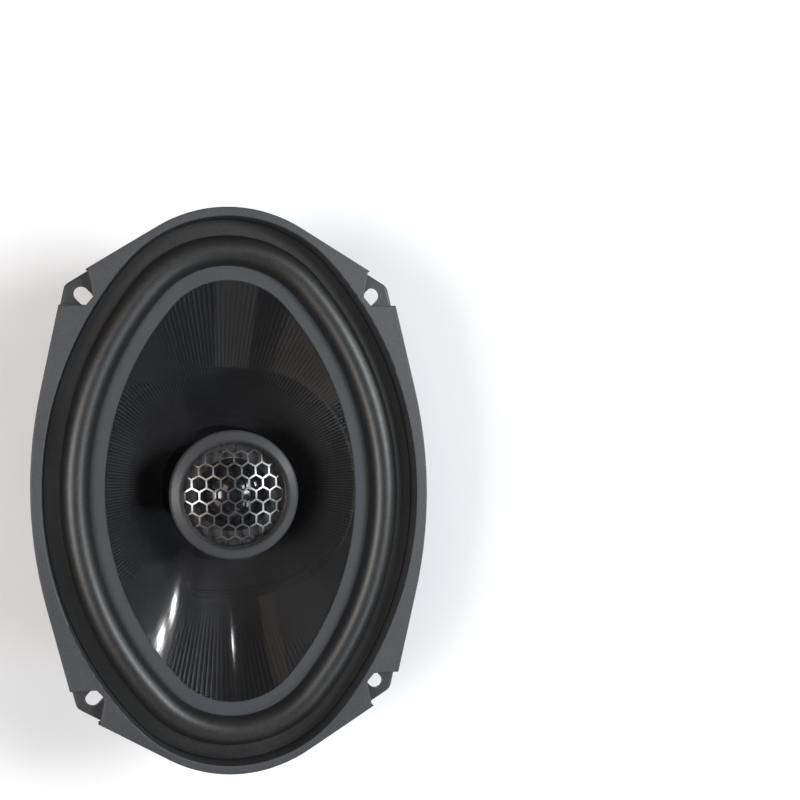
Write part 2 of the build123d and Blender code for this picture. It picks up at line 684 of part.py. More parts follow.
def tweeter_grille():
    """Domed honeycomb grille with a flat rim that stands on the ring inside the bezel."""
    radius = BEZEL_OPENING_R - FIT_GAP
    base = BEZEL_TOP - GRILLE_DROP
    top = base + GRILLE_RISE
    hexagon = Rot(0, 0, 30) * RegularPolygon((GRILLE_PITCH - GRILLE_RIB) / 2, 6, major_radius=False)
    cell = slab(hexagon, base - 1, top + 1)
    cells = Part() + [Pos(x, y, 0) * cell for x, y in hex_places(radius)]
    cells &= disc(radius - GRILLE_RIM_W, base - 1, top + 1)
    mesh = dome_cap(radius, GRILLE_RISE, GRILLE_T, base) - cells
    return mesh + tube(radius, radius - GRILLE_RIM_W, RING_SEAT, base + GRILLE_T / 3)


def tweeter_dome():
    """Silk dome and its flat edge."""
    edge = tube(DOME_R + DOME_EDGE_W, DOME_R - 2 * DOME_T, DOME_Z - DOME_T, DOME_Z)
    return dome_cap(DOME_R, DOME_RISE, DOME_T, DOME_Z) + edge


def tweeter_voice_coil():
    top = DOME_Z - DOME_T
    return tube(DOME_R, DOME_R - TWEETER_COIL_T, top - TWEETER_COIL_H, top)


def tweeter_top_plate():
    return disc(TWEETER_PLATE_R, CUP_TOP - TWEETER_PLATE_H, CUP_TOP)


def tweeter_magnet():
    return disc(TWEETER_MAGNET_R, CUP_FLOOR, CUP_TOP - TWEETER_PLATE_H)


def tweeter_yoke():
    """Steel cup round the tweeter's magnet."""
    cup = disc(TWEETER_CUP_R, CUP_BACK, CUP_TOP)
    return cup - disc(TWEETER_CUP_R - TWEETER_CUP_WALL, CUP_FLOOR, CUP_TOP)


def tweeter_leads():
    """Pair of leads from the tweeter, down the stem, along the yoke's back and up to the board."""
    groove_z = YOKE_BACK + LEAD_GROOVE_DEPTH / 2
    channel_z = CUP_BACK - LEAD_GROOVE_DEPTH / 2
    channel_y = TWEETER_CUP_R + LEAD_GROOVE_W / 2
    gap_y = (MAGNET_R + BOOT_R - BOOT_WALL) / 2
    board_end = BOARD_SHIFT - BOARD_L / 2 + 2 * TWEETER_LEAD_R
    pair = []
    for x in (-TWEETER_LEAD_X, TWEETER_LEAD_X):
        route = [
            (x, channel_y, CUP_FLOOR),
            (x, channel_y, channel_z),
            (x, 0, channel_z),
            (x, 0, groove_z),
            (x, gap_y, groove_z),
            (x, gap_y, PLATE_FRONT - BOOT_STEP / 2),
            board_point(-x, board_end, BOARD_T + TWEETER_LEAD_RISE),
            board_point(-x, board_end, BOARD_T),
        ]
        pair.append(run_tight(route, TWEETER_LEAD_R))
    return Compound(children=pair)


# ---------------------------------------------------------------- terminal board and crossover
def terminal_board():
    board = on_board(Box(BOARD_W, BOARD_L, BOARD_T, align=BOTTOM_ALIGNED), 0, BOARD_SHIFT, 0)
    return board - at_pads(Cylinder(BOARD_RIVET_R, 2 * BOARD_T + 1))


def board_rivets():
    """Two rivets through the board into the basket's pads."""
    rivet = Cylinder(BOARD_RIVET_R, PAD_H + BOARD_T, align=TOP_ALIGNED)
    rivet += Cylinder(BOARD_RIVET_HEAD_R, BOARD_RIVET_HEAD_H, align=BOTTOM_ALIGNED)
    return Compound(children=at_pads(at(BOARD_T) * rivet))


def lying(shape, radius, place):
    """Sets a shape turned about Z down on the board, its axis along X."""
    return on_board(Rot(0, 90, 0) * shape, 0, place, BOARD_T + radius)


def capacitor(size):
    radius, length, place = size
    can = Cylinder(radius, length)
    return lying(fillet(can.edges().filter_by(GeomType.CIRCLE), CAP_EDGE_R), radius, place)


def inductor_bobbin():
    radius, length, place = BOBBIN
    spool = Cylinder(BOBBIN_HUB_R, length)
    for side in (-1, 1):
        spool += at(side * (length - BOBBIN_FLANGE_T) / 2) * Cylinder(radius, BOBBIN_FLANGE_T)
    return lying(spool - Cylinder(BOBBIN_BORE_R, length), radius, place)


def inductor_winding():
    radius, length, place = BOBBIN
    width = length - 2 * BOBBIN_FLANGE_T
    wound_r = radius - BOBBIN_RIM
    return lying(Cylinder(wound_r, width) - Cylinder(BOBBIN_HUB_R, width), radius, place)


def hot_glue():
    """Bead of glue in the valley between the large capacitor and the bobbin."""
    cap_r, _, cap_place = CAP_LARGE
    bobbin_r, _, bobbin_place = BOBBIN
    valley = (cap_place + bobbin_place + cap_r - bobbin_r) / 2
    bead = lying(Cylinder(GLUE_R, GLUE_LENGTH), GLUE_R, valley)
    bead -= lying(Cylinder(cap_r, 2 * GLUE_LENGTH), cap_r, cap_place)
    return bead - lying(Cylinder(bobbin_r, 2 * GLUE_LENGTH), bobbin_r, bobbin_place)


def terminal(width, side):
    """Push-on tab eyeleted to the board's edge, on one side of the middle."""
    reach = (TAB_IN - TAB_OUT) / 2
    tab = Box(TAB_IN + TAB_OUT, width, TAB_T, align=BOTTOM_ALIGNED)
    tab -= Pos(reach - TAB_HOLE_R, 0) * Cylinder(TAB_HOLE_R, 3 * TAB_T)
    return on_board(tab, reach - BOARD_W / 2, BOARD_SHIFT + side * TAB_SPACING / 2)


def jumper(corners, past):
    """Red wire down beside a capacitor's end to the board."""
    return run([board_point(past + x, y, height) for x, y, height in corners], WIRE_R)


def jumper_wire_long():
    """From the glue beside the bobbin, past the large capacitor's end, to the board."""
    return jumper(JUMPER_LONG, CAP_LARGE[1] / 2 + JUMPER_LONG_X)


def jumper_wire_short():
    """Over the small capacitor's end to the board."""
    return jumper(JUMPER_SHORT, CAP_SMALL[1] / 2 + JUMPER_SHORT_X)


def cone_back_z(y):
    """Height of the cone's back at this distance along Y from the centre."""
    neck_r = FORMER_R + GLUE_GAP + CONE_NECK_WALL
    edge_y = RECESS_L - CONE_EDGE + CONE_T
    return CONE_NECK_Z + (LEDGE_Z - CONE_NECK_Z) * (y - neck_r) / (edge_y - neck_r)


def lead_eyelets():
    """Two small blocks of glue and solder on the back of the cone."""
    x, y = TINSEL_EYE
    top = cone_back_z(y)
    block = disc(TINSEL_EYELET_R, top - TINSEL_EYELET_H, top + 2 * CONE_T)
    solid = cone_body(0)
    return Compound(children=[Pos(side * x, y) * block - solid for side in (-1, 1)])


def tinsel_lead(side):
    """Flexible lead from the board's edge, through an end window, to the back of the cone."""
    x, y = TINSEL_EYE
    middle_x, middle_y, middle_h = TINSEL_MIDDLE
    board_x = -side * (BOARD_W / 2 - TINSEL_INSET[0])
    board_y = BOARD_SHIFT + TINSEL_INSET[1]
    end_z = cone_back_z(y) - TINSEL_EYELET_H
    return run([
        board_point(board_x, board_y, 0),
        board_point(board_x, board_y, -TINSEL_DROP),
        (side * middle_x, middle_y, SHELF_Z + middle_h),
        (side * x, y, end_z - TINSEL_TAIL),
        (side * x, y, end_z),
    ], TINSEL_R)


NODES = {
    "basket": basket,
    "trim_ring": trim_ring,
    "surround": surround,
    "cone": cone,
    "voice_coil_former": voice_coil_former,
    "voice_coil_winding": voice_coil_winding,
    "spider": spider,
    "lead_eyelets": lead_eyelets,
    "top_plate": top_plate,
    "magnet": magnet,
    "yoke": yoke,
    "magnet_boot": magnet_boot,
    "basket_rivets": basket_rivets,
    "tweeter_post": tweeter_post,
    "post_nut": post_nut,
    "tweeter_housing": tweeter_housing,
    "tweeter_ring": tweeter_ring,
    "tweeter_bezel": tweeter_bezel,
    "tweeter_grille": tweeter_grille,
    "tweeter_dome": tweeter_dome,
    "tweeter_voice_coil": tweeter_voice_coil,
    "tweeter_top_plate": tweeter_top_plate,
    "tweeter_magnet": tweeter_magnet,
    "tweeter_yoke": tweeter_yoke,
    "tweeter_leads": tweeter_leads,
    "terminal_board": terminal_board,
    "board_rivets": board_rivets,
    "terminal_positive": lambda: terminal(TAB_W_POSITIVE, 1),
    "terminal_negative": lambda: terminal(TAB_W_NEGATIVE, -1),
    "capacitor_large": lambda: capacitor(CAP_LARGE),
    "capacitor_small": lambda: capacitor(CAP_SMALL),
    "inductor_bobbin": inductor_bobbin,
    "inductor_winding": inductor_winding,
    "hot_glue": hot_glue,
    "jumper_wire_long": jumper_wire_long,
    "jumper_wire_short": jumper_wire_short,
    "tinsel_lead_left": lambda: tinsel_lead(-1),
    "tinsel_lead_right": lambda: tinsel_lead(1),
}

os.makedirs("parts", exist_ok=True)
for name, make in NODES.items():
    export_step(make(), f"parts/{name}.step")
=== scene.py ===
import math

import bmesh
import bpy
from mathutils import Euler, Matrix, Vector


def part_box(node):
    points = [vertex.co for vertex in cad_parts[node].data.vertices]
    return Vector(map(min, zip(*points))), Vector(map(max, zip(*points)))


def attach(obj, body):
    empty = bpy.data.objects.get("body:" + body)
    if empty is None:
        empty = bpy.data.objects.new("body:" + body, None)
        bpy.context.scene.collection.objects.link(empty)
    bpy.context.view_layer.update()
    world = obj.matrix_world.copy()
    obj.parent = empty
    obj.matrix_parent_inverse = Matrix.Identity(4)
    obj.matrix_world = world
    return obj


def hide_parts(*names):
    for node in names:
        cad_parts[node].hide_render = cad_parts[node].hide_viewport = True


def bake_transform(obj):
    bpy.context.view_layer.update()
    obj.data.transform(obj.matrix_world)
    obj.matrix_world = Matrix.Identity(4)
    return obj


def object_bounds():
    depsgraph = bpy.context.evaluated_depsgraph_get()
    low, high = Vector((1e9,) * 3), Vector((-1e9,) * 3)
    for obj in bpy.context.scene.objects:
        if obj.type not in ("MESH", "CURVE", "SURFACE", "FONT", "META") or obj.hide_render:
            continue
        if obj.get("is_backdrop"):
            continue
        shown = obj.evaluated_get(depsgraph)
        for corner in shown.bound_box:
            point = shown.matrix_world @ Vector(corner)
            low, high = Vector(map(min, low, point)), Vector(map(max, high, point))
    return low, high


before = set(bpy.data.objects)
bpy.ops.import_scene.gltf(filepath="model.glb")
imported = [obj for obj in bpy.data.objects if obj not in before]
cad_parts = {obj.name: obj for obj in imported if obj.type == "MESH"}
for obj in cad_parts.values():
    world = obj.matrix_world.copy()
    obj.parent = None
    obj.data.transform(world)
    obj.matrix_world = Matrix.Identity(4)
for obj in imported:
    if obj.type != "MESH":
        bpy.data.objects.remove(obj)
cad_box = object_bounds()

# ---------------------------------------------------------------- camera, floor and light
# The speaker lies on its magnet and the camera looks down into the cone, a little from the upper left.
# A pale floor carries it, under soft boxes and a group of small ceiling lamps.
CAMERA_AT = (-0.0579, 0.0418, 0.4742)
CAMERA_TILT = (0.078, 0.199, 0.028)
CAMERA_LENS = 50.76
FRAME_SHIFT = 0.1
FLOOR_HALF = 3.0
FLOOR_GREY = (0.9, 0.9, 0.9)
FLOOR_ROUGHNESS = 0.9
ROOM_COLOUR = (0.93, 0.95, 1.0)
ROOM_LIGHT = 0.12
LAMP_BEARINGS = (17.5, 21, 24.5)
LAMP_REACH = 1.08
LAMP_HEIGHT = 0.42
LAMP_SIZE = 0.026
LAMP_POWER = 0.42
STREAKS_AT = (-0.025, -0.055)

camera = bpy.data.objects.new("camera", bpy.data.cameras.new("camera"))
camera.data.lens = CAMERA_LENS
camera.data.shift_x = FRAME_SHIFT
camera.data.shift_y = FRAME_SHIFT
camera.data.clip_start = 0.01
turn = Euler(CAMERA_TILT, "XYZ").to_matrix().transposed().to_4x4()
camera.matrix_world = Matrix.Translation(CAMERA_AT) @ turn
bpy.context.scene.collection.objects.link(camera)
bpy.context.scene.camera = camera


def soft_box(name, place, size, power, colour=(1, 1, 1)):
    """Square studio light turned towards the speaker."""
    lamp = bpy.data.lights.new(name, "AREA")
    lamp.size = size
    lamp.energy = power
    lamp.color = colour
    holder = bpy.data.objects.new(name, lamp)
    holder.location = place
    holder.rotation_euler = (-Vector(place)).to_track_quat("-Z", "Y").to_euler()
    bpy.context.scene.collection.objects.link(holder)


soft_box("right", place=(0.78, 0.2, 0.95), size=0.45, power=12, colour=(0.93, 0.965, 1.0))
soft_box("left", place=(-0.78, -0.05, 1.0), size=0.45, power=10)
soft_box("window", place=(0.71, -0.5, 0.83), size=0.3, power=2.6, colour=(0.78, 0.9, 1.0))
soft_box("warm", place=(-0.67, -0.45, 0.89), size=0.3, power=0.9, colour=(1.0, 0.8, 0.68))
soft_box("warm_high", place=(-0.37, 0.31, 1.1), size=0.25, power=0.9, colour=(1.0, 0.8, 0.66))
soft_box("low", place=(0.05, -0.95, 0.7), size=0.55, power=0.5)
soft_box("warm_top", place=(-0.6, 0.65, 0.85), size=0.35, power=0.2, colour=(1.0, 0.66, 0.48))
soft_box("warm_side", place=(-0.85, -0.57, 0.45), size=0.4, power=0.22, colour=(1.0, 0.7, 0.55))
for number, bearing in enumerate(LAMP_BEARINGS):
    lamp_x = STREAKS_AT[0] + LAMP_REACH * math.cos(math.radians(bearing))
    lamp_y = STREAKS_AT[1] + LAMP_REACH * math.sin(math.radians(bearing))
    soft_box(f"lamp_{number}", (lamp_x, lamp_y, LAMP_HEIGHT), LAMP_SIZE, LAMP_POWER)
soft_box("lamp_top", place=(0.12, 0.62, 0.85), size=0.02, power=0.12)

world = bpy.data.worlds.new("studio")
world.use_nodes = True
world.node_tree.nodes["Background"].inputs["Color"].default_value = (*ROOM_COLOUR, 1)
world.node_tree.nodes["Background"].inputs["Strength"].default_value = ROOM_LIGHT
bpy.context.scene.world = world
bpy.context.scene.view_settings.view_transform = "Standard"

floor_mesh = bmesh.new()
bmesh.ops.create_grid(floor_mesh, x_segments=2, y_segments=2, size=FLOOR_HALF)
bmesh.ops.translate(floor_mesh, verts=floor_mesh.verts, vec=(0, 0, cad_box[0].z))
floor_data = bpy.data.meshes.new("floor")
floor_mesh.to_mesh(floor_data)
floor_mesh.free()
floor = bpy.data.objects.new("floor", floor_data)
floor_paper = bpy.data.materials.new("floor paper")
floor_paper.use_nodes = True
paper_shader = floor_paper.node_tree.nodes["Principled BSDF"]
paper_shader.inputs["Base Color"].default_value = (*FLOOR_GREY, 1)
paper_shader.inputs["Roughness"].default_value = FLOOR_ROUGHNESS
floor_data.materials.append(floor_paper)
bpy.context.scene.collection.objects.link(floor)
floor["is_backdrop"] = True


# ---------------------------------------------------------------- basket
# Deep-drawn steel frame with a turned lip, six arms and a vented neck, in satin charcoal powder coat.
# The pressing is the frame's own mesh; its coat is a very fine orange peel with a little cloud in its gloss.
POWDER_DARK = (0.022, 0.023, 0.025)
POWDER_LIGHT = (0.032, 0.0335, 0.036)
GRAIN_DEPTH = 0.0001


def mask_group(name, inputs, outputs):
    """Empty shader group with number sockets, and its input and output nodes."""
    group = bpy.data.node_groups.new(name, "ShaderNodeTree")
    for label, value in inputs:
        socket = group.interface.new_socket(label, in_out="INPUT", socket_type="NodeSocketFloat")
        socket.default_value = value
    for label in outputs:
        group.interface.new_socket(label, in_out="OUTPUT", socket_type="NodeSocketFloat")
    return group, group.nodes.new("NodeGroupInput"), group.nodes.new("NodeGroupOutput")


def grain_group():
    """Fine grain over broad cloud, as a mask and as a height."""
    group, entry, leave = mask_group("grain", [("Scale", 1500.0), ("Cloud", 0.35)], ["Mask", "Height"])
    place = group.nodes.new("ShaderNodeTexCoord")
    fine = group.nodes.new("ShaderNodeTexNoise")
    fine.inputs["Detail"].default_value = 3
    cloud = group.nodes.new("ShaderNodeTexNoise")
    cloud.inputs["Scale"].default_value = 35
    both = group.nodes.new("ShaderNodeMix")
    spread = group.nodes.new("ShaderNodeMapRange")
    spread.inputs["From Min"].default_value = 0.3
    spread.inputs["From Max"].default_value = 0.7
    links = group.links
    links.new(place.outputs["Object"], fine.inputs["Vector"])
    links.new(place.outputs["Object"], cloud.inputs["Vector"])
    links.new(entry.outputs["Scale"], fine.inputs["Scale"])
    links.new(entry.outputs["Cloud"], both.inputs[0])
    links.new(fine.outputs["Fac"], both.inputs[2])
    links.new(cloud.outputs["Fac"], both.inputs[3])
    links.new(both.outputs[0], spread.inputs["Value"])
    links.new(spread.outputs["Result"], leave.inputs["Mask"])
    links.new(fine.outputs["Fac"], leave.inputs["Height"])
    return group


grain = grain_group()


def finish(name, dark, light, rough, grains, bump, **plain):
    """Surface whose grain moves its colour between two close shades and its roughness between two values."""
    surface = bpy.data.materials.new(name)
    surface.use_nodes = True
    nodes = surface.node_tree.nodes
    links = surface.node_tree.links
    shader = nodes["Principled BSDF"]
    texture = nodes.new("ShaderNodeGroup")
    texture.name = "Grain"
    texture.node_tree = grain
    texture.inputs["Scale"].default_value = grains
    shade = nodes.new("ShaderNodeMix")
    shade.name = "Shade"
    shade.data_type = "RGBA"
    shade.inputs[6].default_value = (*dark, 1)
    shade.inputs[7].default_value = (*light, 1)
    links.new(texture.outputs["Mask"], shade.inputs[0])
    links.new(shade.outputs[2], shader.inputs["Base Color"])
    gloss = nodes.new("ShaderNodeMapRange")
    gloss.name = "Gloss"
    gloss.inputs["To Min"].default_value = rough[0]
    gloss.inputs["To Max"].default_value = rough[1]
    links.new(texture.outputs["Mask"], gloss.inputs["Value"])
    links.new(gloss.outputs["Result"], shader.inputs["Roughness"])
    relief = nodes.new("ShaderNodeBump")
    relief.name = "Relief"
    relief.inputs["Strength"].default_value = bump
    relief.inputs["Distance"].default_value = GRAIN_DEPTH
    links.new(texture.outputs["Height"], relief.inputs["Height"])
    links.new(relief.outputs["Normal"], shader.inputs["Normal"])
    for socket, value in plain.items():
        shader.inputs[socket.replace("_", " ")].default_value = value
    return surface


def paint(surface, *nodes):
    """Gives CAD nodes a finished surface."""
    for node in nodes:
        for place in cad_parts[node].material_slots:
            place.material = surface


paint(finish(
    "basket powder coat", dark=POWDER_DARK, light=POWDER_LIGHT,
    rough=(0.36, 0.46), grains=1400, bump=0.25,
), "basket")

# ---------------------------------------------------------------- trim ring
# Moulded plastic ring pressed over the surround's foot, in a fine speckled grey with notches at the ears.
# Tiny pale specks sit in the plastic.
RING_DARK = (0.024, 0.025, 0.027)
RING_LIGHT = (0.050, 0.052, 0.056)
SPECK_LIGHT = (0.10, 0.105, 0.115)


def worked(tree, operation, *values):
    """Result of one sum in a shader tree, from sockets and plain numbers."""
    math_node = tree.nodes.new("ShaderNodeMath")
    math_node.operation = operation
    for socket, value in zip(math_node.inputs, values):
        if isinstance(value, bpy.types.NodeSocket):
            tree.links.new(value, socket)
        else:
            socket.default_value = value
    return math_node.outputs["Value"]


def speck_group():
    """Rare small cells that stand out from the surface."""
    group, entry, leave = mask_group("specks", [("Scale", 1800.0), ("Share", 0.1)], ["Mask"])
    place = group.nodes.new("ShaderNodeTexCoord")
    cells = group.nodes.new("ShaderNodeTexVoronoi")
    split = group.nodes.new("ShaderNodeSeparateColor")
    core = group.nodes.new("ShaderNodeMapRange")
    core.inputs["From Min"].default_value = 0.5
    core.inputs["From Max"].default_value = 0.2
    links = group.links
    links.new(place.outputs["Object"], cells.inputs["Vector"])
    links.new(entry.outputs["Scale"], cells.inputs["Scale"])
    links.new(cells.outputs["Color"], split.inputs["Color"])
    links.new(cells.outputs["Distance"], core.inputs["Value"])
    rare = worked(group, "LESS_THAN", split.outputs["Red"], entry.outputs["Share"])
    links.new(worked(group, "MULTIPLY", rare, core.outputs["Result"]), leave.inputs["Mask"])
    return group


specks = speck_group()


def lay_over(surface, mask, colour):
    """Shows a colour over a finished surface, by as much as a mask says."""
    nodes = surface.node_tree.nodes
    links = surface.node_tree.links
    over = nodes.new("ShaderNodeMix")
    over.data_type = "RGBA"
    over.inputs[7].default_value = (*colour, 1)
    links.new(mask, over.inputs[0])
    links.new(nodes["Shade"].outputs[2], over.inputs[6])
    links.new(over.outputs[2], nodes["Principled BSDF"].inputs["Base Color"])


def add_specks(surface, colour, cells, share):
    """Scatters pale specks over a finished surface."""
    scatter = surface.node_tree.nodes.new("ShaderNodeGroup")
    scatter.node_tree = specks
    scatter.inputs["Scale"].default_value = cells
    scatter.inputs["Share"].default_value = share
    lay_over(surface, scatter.outputs["Mask"], colour)
    return surface


ring_surface = finish(
    "trim ring plastic", dark=RING_DARK, light=RING_LIGHT,
    rough=(0.42, 0.55), grains=2200, bump=0.5,
)
paint(add_specks(ring_surface, SPECK_LIGHT, cells=3800, share=0.12), "trim_ring")

# ---------------------------------------------------------------- surround
# Rubber half roll that joins the basket to the cone, moulded with a flat foot under the trim ring
# and a flat bluish-grey landing glued on the cone's rim.
CORNER_ANGLE = math.radians(41.2)
FOOT_GAP = 0.0004
ROLL_START = 0.0065
ROLL_END = 0.0190
LANDING_END = 0.0250
CREASE_W = 0.0005
EDGE_ROUND = 0.00025
RUBBER_T = 0.0009
RUBBER_DARK = (0.010, 0.0098, 0.0095)
RUBBER_LIGHT = (0.019, 0.0185, 0.018)
ROLL_POINTS = 15
ARC_STEPS = 60
LANDING_DARK = (0.024, 0.027, 0.031)
LANDING_LIGHT = (0.038, 0.042, 0.048)
ledge_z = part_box("surround")[0].z
ring_half_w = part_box("surround")[1].x + FOOT_GAP
ring_half_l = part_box("surround")[1].y + FOOT_GAP


def oval_arcs():
    """The ring's inner oval as four tangent arcs: centre, radius, start and turn."""
    across, along = math.cos(CORNER_ANGLE), math.sin(CORNER_ANGLE)
    spread = (ring_half_l - ring_half_w) / (along + across - 1)
    end_r = ring_half_l - spread * along
    side_turn = 2 * CORNER_ANGLE
    end_turn = math.pi - side_turn
    return [
        (Vector((-spread * across, 0, 0)), end_r + spread, -CORNER_ANGLE, side_turn),
        (Vector((0, spread * along, 0)), end_r, CORNER_ANGLE, end_turn),
        (Vector((spread * across, 0, 0)), end_r + spread, math.pi - CORNER_ANGLE, side_turn),
        (Vector((0, -spread * along, 0)), end_r, math.pi + CORNER_ANGLE, end_turn),
    ]


def line_of(bm, points, closed=True):
    """Vertices at points and the edges that join them, ready to spin."""
    corners = [bm.verts.new(point) for point in points]
    ends = corners[1:] + corners[:1] if closed else corners[1:]
    return corners + [bm.edges.new(pair) for pair in zip(corners, ends)]


def round_oval(section):
    """Runs a closed section of (distance in from the ring's inner edge, z) once round the oval."""
    bm = bmesh.new()
    centre, radius, start, _ = oval_arcs()[0]
    out = Vector((math.cos(start), math.sin(start), 0))
    moving = line_of(bm, [centre + out * (radius - inset) + Vector((0, 0, z)) for inset, z in section])
    for centre, _, _, sweep in oval_arcs():
        made = bmesh.ops.spin(bm, geom=moving, cent=centre, axis=(0, 0, 1), angle=sweep, steps=ARC_STEPS)
        moving = made["geom_last"]
    bmesh.ops.remove_doubles(bm, verts=bm.verts, dist=1e-6)
    return bm


def piece(name, bm, body, surface, slot, *stands_for, crease=40):
    """Turns a bmesh into a finished object, which rides on a body when one is given."""
    bmesh.ops.recalc_face_normals(bm, faces=bm.faces)
    mesh = bpy.data.meshes.new(name)
    bm.to_mesh(mesh)
    bm.free()
    mesh.shade_smooth()
    mesh.set_sharp_from_angle(angle=math.radians(crease))
    mesh.materials.append(surface)
    made = bpy.data.objects.new(name, mesh)
    bpy.context.scene.collection.objects.link(made)
    if body:
        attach(made, body)
    if stands_for:
        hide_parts(*stands_for)
    return made


def bend(made, amount):
    """Bakes a piece's transform and works out at each point a share from the basket (0) to the cone (1); the
    shares are not kept.
    """
    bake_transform(made)
    shares = [amount(vert.co) for vert in made.data.vertices]


def smooth_share(value, low, high):
    """0 below low, 1 above high, and an easy curve between."""
    step = min(max((value - low) / (high - low), 0), 1)
    return step * step * (3 - 2 * step)


def inset_of(point):
    """Distance of a point in from the ring's inner edge, measured from the arc that it faces."""
    side, end = oval_arcs()[:2]
    folded = Vector((abs(point.x), abs(point.y)))
    away = folded - side[0].xy
    if math.atan2(away.y, away.x) <= CORNER_ANGLE:
        return side[1] - away.length
    return end[1] - (folded - end[0].xy).length


roll_middle = (ROLL_START + ROLL_END) / 2
roll_r = (ROLL_END - ROLL_START) / 2
inner_r = roll_r - RUBBER_T
rubber_top = ledge_z + RUBBER_T
half_circle = [math.pi * step / (ROLL_POINTS - 1) for step in range(ROLL_POINTS)]
roll_top = [(roll_middle - roll_r * math.cos(t), rubber_top + roll_r * math.sin(t)) for t in half_circle]
roll_under = [(roll_middle + inner_r * math.cos(t), ledge_z + inner_r * math.sin(t)) for t in half_circle]
foot = [(FOOT_GAP, ledge_z), (FOOT_GAP, rubber_top), (ROLL_START - CREASE_W, rubber_top)]
landing = [(ROLL_END + CREASE_W, rubber_top), (LANDING_END - EDGE_ROUND, rubber_top)]
landing += [(LANDING_END, rubber_top - EDGE_ROUND), (LANDING_END, ledge_z)]
roll_section = foot + roll_top + landing + roll_under
rubber = finish(
    "surround rubber", dark=RUBBER_DARK, light=RUBBER_LIGHT,
    rough=(0.36, 0.46), grains=900, bump=0.35,
)
surround = piece("surround_roll", round_oval(roll_section), None, rubber, "surround_rubber", "surround")
surround.data.materials.append(finish(
    "landing ring", dark=LANDING_DARK, light=LANDING_LIGHT,
    rough=(0.55, 0.68), grains=1500, bump=0.6,
))
for face in surround.data.polygons:
    if inset_of(face.center) > ROLL_END + EDGE_ROUND:
        face.material_index = 1
bend(surround, lambda point: smooth_share(inset_of(point), ROLL_START, ROLL_END))

# ---------------------------------------------------------------- cone
# Injection-moulded glossy black cone, glued under the surround's landing. From a smooth throat, radial
# columns of small lens-shaped dimples spread out to the rim, each column half a dimple out of step.
CONE_COLUMNS = 360
CONE_ROWS = 48
DIMPLE_COLUMNS = 240
DIMPLE_ROWS = 72
DIMPLE_FROM_R = 0.0285
DIMPLE_DEPTH = 0.00010
DIMPLE_HALF_W = 0.40
DIMPLE_HALF_H = 0.30
# Painted glint: a lighter grey laid over the dimples, standing in for the light they catch.
DIMPLE_PAINTED_GLINT = (0.013, 0.0135, 0.0145)
CONE_DARK = (0.0035, 0.0035, 0.004)
CONE_LIGHT = (0.007, 0.007, 0.0075)
CONE_WALL = 0.0009
NECK_R = 0.0181
RIM_INSET = 0.0242
RIM_LAP = 0.0006
BACK_ROWS = 6
cone_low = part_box("cone")[0]


def cone_point(share, facing, lift=0.0):
    """Point on the cone's face: share runs from the neck to the rim, facing is the oval's normal direction."""
    across, along = math.cos(CORNER_ANGLE), math.sin(CORNER_ANGLE)
    half_w = NECK_R + (ring_half_w - RIM_INSET - NECK_R) * share
    half_l = NECK_R + (ring_half_l - RIM_INSET - NECK_R) * share
    spread = (half_l - half_w) / (along + across - 1)
    end_r = half_l - spread * along
    x, y = math.cos(facing), math.sin(facing)
    if abs(x) > across:
        centre_x, centre_y, radius = -math.copysign(spread * across, x), 0.0, end_r + spread
    else:
        centre_x, centre_y, radius = 0.0, math.copysign(spread * along, y), end_r
    height = cone_low.z + CONE_WALL + (ledge_z - cone_low.z) * share
    return Vector((centre_x + radius * x, centre_y + radius * y, height + lift))


def cone_shell():
    """Face and back of the cone as one skin, extruded row by row from the neck."""
    bm = bmesh.new()
    column = bm.verts.layers.int.new("column")
    neck = bmesh.ops.create_circle(bm, segments=CONE_COLUMNS, radius=NECK_R)["verts"]
    for vert in neck:
        vert[column] = round(math.atan2(vert.co.y, vert.co.x) / math.tau * CONE_COLUMNS) % CONE_COLUMNS
        vert.co = cone_point(0, vert[column] * math.tau / CONE_COLUMNS)
    edge = list(bm.edges)
    rows = [(step / CONE_ROWS, 0.0) for step in range(1, CONE_ROWS + 1)]
    rows += [(1 - step / BACK_ROWS, -CONE_WALL) for step in range(BACK_ROWS + 1)]
    for share, lift in rows:
        made = bmesh.ops.extrude_edge_only(bm, edges=edge)["geom"]
        edge = [part for part in made if isinstance(part, bmesh.types.BMEdge)]
        for vert in (part for part in made if isinstance(part, bmesh.types.BMVert)):
            vert.co = cone_point(share, vert[column] * math.tau / CONE_COLUMNS, lift)
    bmesh.ops.bridge_loops(bm, edges=[part for part in bm.edges if part.is_boundary])
    return bm


